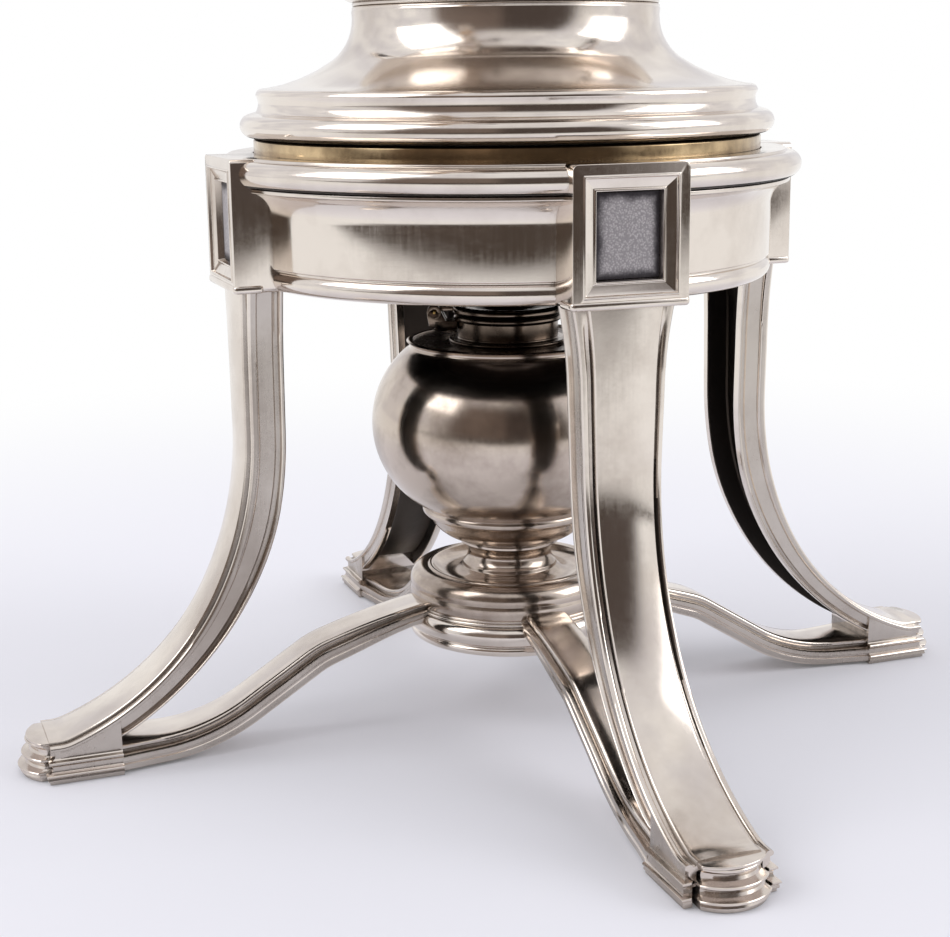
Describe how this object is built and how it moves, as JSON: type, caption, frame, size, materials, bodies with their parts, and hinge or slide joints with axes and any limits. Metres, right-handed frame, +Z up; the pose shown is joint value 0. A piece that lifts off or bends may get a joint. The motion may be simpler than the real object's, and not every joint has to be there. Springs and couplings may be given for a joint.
{
  "type": "samovar",
  "caption": "Spirit-heated silver samovar: lidded vase-shaped urn with side handles and a lever tap, on a ring stand with splayed channel legs, S stretchers and a lamp.",
  "frame": {"origin": "on the floor under the samovar's own axis", "axes": "+Z up, -Y towards the tap, +X to the right seen from behind the tap; the legs are on the diagonals"},
  "size_m": [0.272, 0.2254, 0.4598],
  "materials": {
    "silver": "polished",
    "matted_silver": "matte",
    "ebonised_wood": "satin",
    "cotton": "matte",
    "brass": "satin"
  },
  "bodies": {
    "stand": {"stand_ring": "silver", "seat_plate": "silver", "cradle_ring": "silver", "corner_block_front_right": "silver", "corner_block_front_left": "silver", "corner_block_back_left": "silver", "corner_block_back_right": "silver", "medallion_panel_front_right": "matted_silver", "medallion_panel_front_left": "matted_silver", "medallion_panel_back_left": "matted_silver", "medallion_panel_back_right": "matted_silver", "leg_front_right": "silver", "leg_front_left": "silver", "leg_back_left": "silver", "leg_back_right": "silver", "foot_front_right": "silver", "foot_front_left": "silver", "foot_back_left": "silver", "foot_back_right": "silver", "stretcher_front_right": "silver", "stretcher_front_left": "silver", "stretcher_back_left": "silver", "stretcher_back_right": "silver"},
    "burner": {"lamp_foot": "silver", "lamp_bowl": "silver", "lamp_deck": "silver", "wick_collar": "silver", "wick_tube": "brass", "wick": "cotton", "hinge_bracket": "silver", "hinge_pin": "brass"},
    "snuffer": {"snuffing_cover": "silver"},
    "urn": {"urn_pedestal": "silver", "neck_knop": "silver", "vessel_floor": "silver", "vessel_tuck": "silver", "vessel": "silver", "vessel_shoulder": "silver", "girdle": "silver", "mouth_rim": "silver", "handle_arm_upper_right": "silver", "handle_arm_upper_left": "silver", "handle_arm_lower_right": "silver", "handle_arm_lower_left": "silver", "handle_grip_right": "ebonised_wood", "handle_grip_left": "ebonised_wood", "tap_rosette": "silver", "tap_body": "silver", "tap_back_nut": "brass"},
    "plug": {"tap_plug": "silver", "plug_washer": "brass", "plug_nut": "brass", "lever_hub": "silver", "lever_knob": "ebonised_wood"},
    "lid": {"lid": "silver", "lid_bezel": "silver", "finial_base": "silver", "finial_insulator": "ebonised_wood", "finial": "silver", "finial_nut": "brass"}
  },
  "joints": [
    {"name": "urn_lift", "type": "slide", "parent": "stand", "child": "urn", "axis": [0, 0, 1], "range_m": [0, 0.06]},
    {"name": "lid_lift", "type": "slide", "parent": "urn", "child": "lid", "axis": [0, 0, 1], "range_m": [0, 0.05]},
    {"name": "plug_turn", "type": "hinge", "parent": "urn", "child": "plug", "pos_m": [0, -0.09327, 0.262], "axis": [0, 0, -1], "range_deg": [0, 90]},
    {"name": "lamp_lift", "type": "slide", "parent": "stand", "child": "burner", "axis": [0, 0, 1], "range_m": [0, 0.028]},
    {"name": "cover_swing", "type": "hinge", "parent": "burner", "child": "snuffer", "pos_m": [-0.02016, -0.00881, 0.12478], "axis": [0.4003, -0.9164, 0], "range_deg": [0, 105]}
  ]
}
